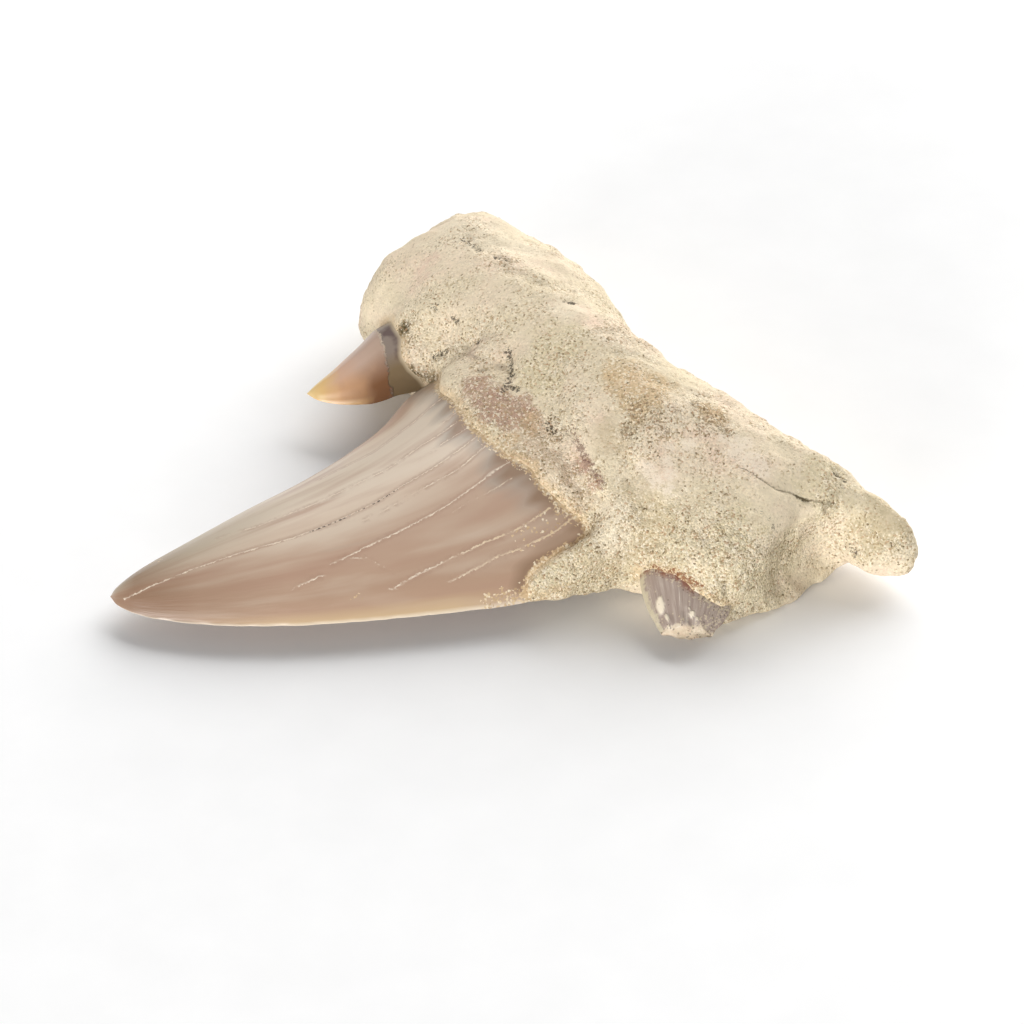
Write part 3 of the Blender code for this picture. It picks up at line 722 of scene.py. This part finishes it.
def fossilEnamel():  # satin, with soft streaks along its growth, and pale sand in its cracks
    looks = enamelLooks
    read = ("across", "tipDistance", "onTop", "crustGap", "mainCracks", "mainCracksStrength", "faintCracks",
            "faintCracksStrength", "soilInCrack", "crackWidth", "sandFilm")
    material, add, place, values = newFinish("fossilEnamel", read)
    acrossPart = add("MapRange", values["across"], -1.0, 1.0)
    colour = add("ValToRGB", acrossPart, stops=looks["across"])

    # streaks follow lines from base to tip, so they narrow with the crown
    growth = add("CombineXYZ", values["tipDistance"], values["across"], values["onTop"])
    long, many = looks["streaks"]
    # 7 sets the lower face's streaks apart from the upper one's
    growth = add("VectorMath", growth, (1 / long, many, 7.0), operation="MULTIPLY")
    values["streak"] = add("TexNoise", growth, Scale=1.0, Detail=3.0, Roughness=0.45, Distortion=0.3)
    # blotches beside the crust, brown next to it and blue grey beyond
    blotch = add("TexNoise", growth, Scale=1.2, Detail=2.0)
    wander = add("MapRange", blotch, 0.3, 0.7, -1.2, 1.2)
    values["margin"] = add("Math", values["crustGap"], wander, operation="ADD")
    colour = layOver(add, colour, looks, values, [
        ("pale", 0.45, [("streak", 0.5, 0.75)]),
        ("pink", 0.65, [("streak", 0.5, 0.3)]),
        ("tipGrey", 0.75, [("tipDistance", 19.0, 9.0), ("across", 0.3, -0.2)]),
        ("tip", 0.65, [("tipDistance", 17.0, 5.0), ("across", -0.2, 0.6)]),
        ("tip", 0.6, [("tipDistance", 9.0, 3.5), ("tipDistance", 0.6, 3.0)]),
        ("edge", 0.8, [("across", 0.90, 0.985), ("tipDistance", 8.0, 18.0), ("tipDistance", 38.0, 32.0)]),
        ("rim", 0.7, [("across", 0.975, 1.0)]),
        ("bandGrey", 0.7, [("margin", 3.2, 1.4), ("across", 0.75, 0.45)]),
        ("bandBrown", 0.85, [("margin", 1.6, 0.3)]),
    ])

    # Cracks, beaded, and more broken where they are weak. A real one is a hair's width, 0.05 mm or so, and
    # too fine to show: these are about 0.15 mm.
    breaks = add("TexNoise", place, Scale=1 / looks["crackBreak"], Detail=4.0, Roughness=0.7)
    beads = values["beads"] = add("TexNoise", place, Scale=1 / looks["bead"], Detail=2.0)
    beaded = add("MapRange", beads, 0.36, 0.58, 0.25, 1.0)
    jagged = add("MapRange", beads, 0.3, 0.7, -0.06, 0.06)
    for name, reach in looks["crackReach"].items():
        away = add("Math", values[name], jagged, operation="ADD")
        away = add("Math", away, operation="ABSOLUTE")
        values["away"] = add("Math", away, values["crackWidth"], operation="DIVIDE")
        strength = values[name + "Strength"]
        values["held"] = add("Math", strength, 0.35, breaks, operation="MULTIPLY_ADD")
        whole = [("held", 0.58, 0.74), (name + "Strength", 0.0, 0.4)]
        colour = layOver(add, colour, looks, values, [("crackSide", 0.5, [("away", 0.35, 0.1), *whole])])
        line = add("MapRange", values["away"], reach, 0.02)
        for key, start, end in whole:
            shown = add("MapRange", values[key], start, end)
            line = add("Math", line, shown, operation="MULTIPLY")
        values[name + "Line"] = add("Math", line, beaded, operation="MULTIPLY")
    lines = values["mainCracksLine"], values["faintCracksLine"]
    values["cracks"] = add("Math", *lines, operation="MAXIMUM")
    colour = layOver(add, colour, looks, values, [
        ("crack", 0.8, [("cracks", 0.0, 1.0)]),
        ("sandyCrack", 0.8, [("cracks", 0.0, 1.0), ("across", 0.35, 0.55), ("tipDistance", 30.0, 37.0)]),
        ("soil", 1.0, [("beads", 0.53, 0.57), ("soilInCrack", 0.0, 1.0), ("mainCracksLine", 0.0, 0.8)]),
    ])

    # sand that clings beside the crust and between two cracks, thinning out to single grains
    grains = add("TexVoronoi", place, Scale=1 / looks["grain"])
    own = add("SeparateColor", grains.outputs["Color"])
    thinning = add("MapRange", values["crustGap"], 0.1, 0.7, 0.75, 0.0)
    anySand = add("Math", values["sandFilm"], 0.17, thinning, operation="MULTIPLY_ADD")
    stuck = add("Math", own.outputs[0], anySand, operation="LESS_THAN")
    stuck = add("Math", stuck, 0.8, operation="MULTIPLY")
    rub = add("MapRange", breaks, 0.35, 0.65, 0.0, 0.4)
    rubbed = add("Math", values["crustGap"], rub, operation="SUBTRACT")
    closed = add("MapRange", rubbed, 0.2, -0.1, 0.0, 0.85)
    film = add("Math", closed, stuck, operation="MAXIMUM")
    sand = add("ValToRGB", own.outputs[1], stops=looks["film"])
    colour = add("Mix", film, colour, sand, data_type="RGBA")

    dull = add("Math", values["cracks"], film, operation="MAXIMUM")
    gloss = add("MapRange", dull, 0.0, 1.0, *looks["gloss"])
    ridges = add("TexNoise", growth, Scale=6.0, Detail=3.0)  # faint, along the growth
    height = add("Math", dull, 1.3, ridges, operation="MULTIPLY_ADD")
    return giveShader(material, looks, colour, height, gloss)


wholeCuspLooks = {
    "length": [(0.0, "#dfc38a"), (0.22, "#dab67c"), (0.42, "#c9a48b"), (0.62, "#bfa391"), (0.85, "#b59b89")],
    # the notch colour is painted shade in the notch between the cusp and the crown
    "amber": "#cf9757", "corner": "#7b502c", "rim": "#e3b675", "notchShade": "#7c6747",
    "foot": "#8c7e73", "footDark": "#5e4a46", "footLine": "#d6c1a4", "sand": "#d0bfa1",
    "footStart": 1.3,  # sections from the cusp's end in the root
    "blotch": 2.2, "tear": 0.8,  # mm
    "relief": (0.6, 0.25), "roughness": 0.32, "ior": 1.6,
}


def amberEnamel():  # glassy amber tip, brown near corner, violet grey behind the line where the crown starts, and painted shade in the notch beside the crown
    looks = wholeCuspLooks
    read = ("station", "across", "tipDistance", "crustGap")
    material, add, place, values = newFinish("amberEnamel", read)
    values["blotch"] = add("TexNoise", place, Scale=1 / looks["blotch"], Detail=3.0)
    wander = add("MapRange", values["blotch"], 0.3, 0.7, -0.6, 0.6)
    values["along"] = add("Math", values["tipDistance"], wander, operation="ADD")
    lengthPart = add("MapRange", values["along"], 0.0, 10.0)
    colour = add("ValToRGB", lengthPart, stops=looks["length"])

    # the foot lies a step lower, behind a pale ragged line
    values["torn"] = add("TexNoise", place, Scale=1 / looks["tear"], Detail=4.0, Roughness=0.7)
    raggedness = add("MapRange", values["torn"], 0.3, 0.7, -0.12, 0.12)
    values["behind"] = add("Math", values["station"], raggedness, operation="ADD")
    offLine = add("Math", values["behind"], looks["footStart"], operation="SUBTRACT")
    values["offLine"] = add("Math", offLine, operation="ABSOLUTE")
    low, high = looks["footStart"] - 0.04, looks["footStart"] + 0.04
    footPart = [("behind", high, low)]
    colour = layOver(add, colour, looks, values, [
        ("amber", 0.7, [("across", 0.2, 0.85), ("along", 1.5, 4.0), ("along", 8.0, 6.0)]),
        ("corner", 0.95, [("across", 0.15, 0.75), ("along", 3.6, 7.4)]),
        ("rim", 0.7, [("across", 0.88, 0.97), ("along", 7.2, 5.2)]),
        ("foot", 1.0, footPart),
        ("footDark", 0.85, [*footPart, ("blotch", 0.54, 0.42)]),
        # painted shade in the notch between the cusp and the crown
        ("notchShade", 0.9, [*footPart, ("across", 0.35, 0.65)]),
        ("footLine", 0.7, [("offLine", 0.035, 0.01), ("across", 0.5, 0.2), ("torn", 0.38, 0.52)]),
        ("sand", 0.8, [("crustGap", 0.35, 0.05)]),
    ])
    return giveShader(material, looks, colour, add("MapRange", values["behind"], low, high))


brokenCuspLooks = {
    "streaks": [(0.3, "#917f75"), (0.48, "#a18f83"), (0.6, "#b1a194"), (0.68, "#dcd0c2")],
    "edge": "#cabea1", "dentine": [(0.35, "#bfa58a"), (0.5, "#cebaa0"), (0.65, "#ddceb8")], "chip": "#e9dcc4",
    "rust": "#7f452c", "sand": "#cbbb9e", "dark": "#5d4d3f",
    "lines": (0.5, 13.0),  # growth lines along a section of the cusp, and across half of it
    "brokenAt": (2.86, 2.94),  # sections from the cusp's end in the root to its chalky end
    "tear": 0.9, "grain": 0.14,  # mm
    "relief": (0.7, 0.08), "roughness": 0.5, "ior": 1.6,
}


def violetEnamel():  # violet grey with white growth lines, chalky where it broke
    looks = brokenCuspLooks
    material, add, place, values = newFinish("violetEnamel", ("station", "across", "crustGap", "chip"))
    growth = add("CombineXYZ", values["station"], values["across"])
    growth = add("VectorMath", growth, (*looks["lines"], 0.0), operation="MULTIPLY")
    streak = add("TexNoise", growth, Scale=1.0, Detail=5.0, Roughness=0.75)
    colour = add("ValToRGB", streak, stops=looks["streaks"])
    values["torn"] = add("TexNoise", place, Scale=1 / looks["tear"], Detail=5.0, Roughness=0.75)
    shift = add("MapRange", values["torn"], 0.3, 0.7, -0.12, 0.12)
    values["leftWay"] = add("Math", values["across"], shift, operation="ADD")
    colour = layOver(add, colour, looks, values, [("edge", 0.9, [("leftWay", -0.86, -0.94)])])
    downWay = add("Math", values["station"], shift, operation="ADD")
    broken = add("MapRange", downWay, *looks["brokenAt"])
    dentine = add("ValToRGB", values["torn"], stops=looks["dentine"])
    colour = add("Mix", broken, colour, dentine, data_type="RGBA")

    # sand grains on the right half, along the broken end and beside the crust, dark ones among them
    grains = add("TexVoronoi", place, Scale=1 / looks["grain"])
    own = add("SeparateColor", grains.outputs["Color"])
    share = add("MapRange", values["across"], 0.1, 0.9, 0.01, 0.26)
    for key, start, end, most in (("station", 2.6, 3.0, 0.18), ("crustGap", 0.6, 0.1, 0.45)):
        more = add("MapRange", values[key], start, end, 0.0, most)
        share = add("Math", share, more, operation="ADD")
    values["stuck"] = add("Math", own.outputs[0], share, operation="LESS_THAN")
    darkShare = add("Math", share, 0.28, operation="MULTIPLY")
    values["darkStuck"] = add("Math", own.outputs[1], darkShare, operation="LESS_THAN")
    colour = layOver(add, colour, looks, values, [
        ("chip", 1.0, [("chip", 0.0, 1.0)]),
        ("sand", 0.75, [("stuck", 0.0, 1.0)]),
        ("dark", 0.65, [("darkStuck", 0.0, 1.0)]),
        ("rust", 0.85, [("crustGap", 0.5, 0.15), ("torn", 0.40, 0.56), ("across", 0.4, 0.1)]),
    ])
    rise = add("Math", values["chip"], 1.5, streak, operation="MULTIPLY_ADD")
    rise = add("Math", values["stuck"], rise, operation="ADD")
    return giveShader(material, looks, colour, rise)


def addPiece(name, mesh, finish):
    mesh.materials.append(finish)
    mesh.shade_smooth()
    piece = newObject(name, mesh)
    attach(piece, "root")
    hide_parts("tooth")


addPiece("crustedRoot", crustMesh, cementedSand())
addPiece("crown", crownMesh, fossilEnamel())
addPiece("wholeCusp", wholeCuspMesh, amberEnamel())
addPiece("brokenCusp", brokenCuspMesh, violetEnamel())
print("pieces placed")


# Floor, light and camera.

stageSetup = {
    "floorSize": 3.0,  # metres
    "tints": [(0.3, "#fafafa"), (0.7, "#fdfdfd")], "roughness": 0.9, "specular": 0.1,
    "cloud": 6.0,  # mm: paper's fibres are too fine to show, so they are drawn as soft clouds of this size
    "aim": (-0.25, -15.4, 6.0),  # mm, the point in the middle of the picture
    "distance": 380.0, "elevation": 40.0, "lens": 142.0, "sensor": 36.0,  # mm, degrees, mm, mm
    # direction to each light, its distance and size in metres, and its power in watts
    "key": ((0.37, 0.72, 0.50), 1.2, (1.6, 1.6), 30.3),
    "fill": ((-0.45, -0.88, 0.14), 1.2, (0.9, 0.2), 15.2),
    "skyStrength": 0.21,
}


def matFloor():  # matt white paper
    material, add, place, _ = newFinish("paperWhite")
    cloud = add("TexNoise", place, Scale=1 / stageSetup["cloud"], Detail=3.0)
    tint = add("ValToRGB", cloud, stops=stageSetup["tints"])
    return giveShader(material, stageSetup, tint)


half = stageSetup["floorSize"] / 2
floorMesh = bpy.data.meshes.new("floor")
corners = [(-half, -half, 0), (half, -half, 0), (half, half, 0), (-half, half, 0)]
floorMesh.from_pydata(corners, [], [(0, 1, 2, 3)])
floorMesh.materials.append(matFloor())
floor = newObject("floor", floorMesh)

aim = Vector(stageSetup["aim"]) * mm
for name in ("key", "fill"):
    way, distance, size, power = stageSetup[name]
    lampData = bpy.data.lights.new(name, "AREA")
    lampData.shape = "RECTANGLE"
    lampData.size, lampData.size_y = size
    lampData.energy = power
    lamp = newObject(name, lampData)
    way = Vector(way).normalized()
    lamp.location = aim + way * distance
    lamp.rotation_euler = way.to_track_quat("Z", "Y").to_euler()

world = bpy.data.worlds.new("studio")
world.use_nodes = True
sky = world.node_tree.nodes["Background"]
sky.inputs["Color"].default_value = paint("#ffffff")
sky.inputs["Strength"].default_value = stageSetup["skyStrength"]
bpy.context.scene.world = world

lift = math.radians(stageSetup["elevation"])
back = Vector((0, -math.cos(lift), math.sin(lift)))
cameraData = bpy.data.cameras.new("camera")
cameraData.sensor_width = stageSetup["sensor"]
cameraData.lens = stageSetup["lens"]
cameraData.clip_start = 0.02
camera = newObject("camera", cameraData)
camera.location = aim + back * stageSetup["distance"] * mm
camera.rotation_euler = back.to_track_quat("Z", "Y").to_euler()
bpy.context.scene.camera = camera
bpy.context.scene.view_settings.view_transform = "Standard"
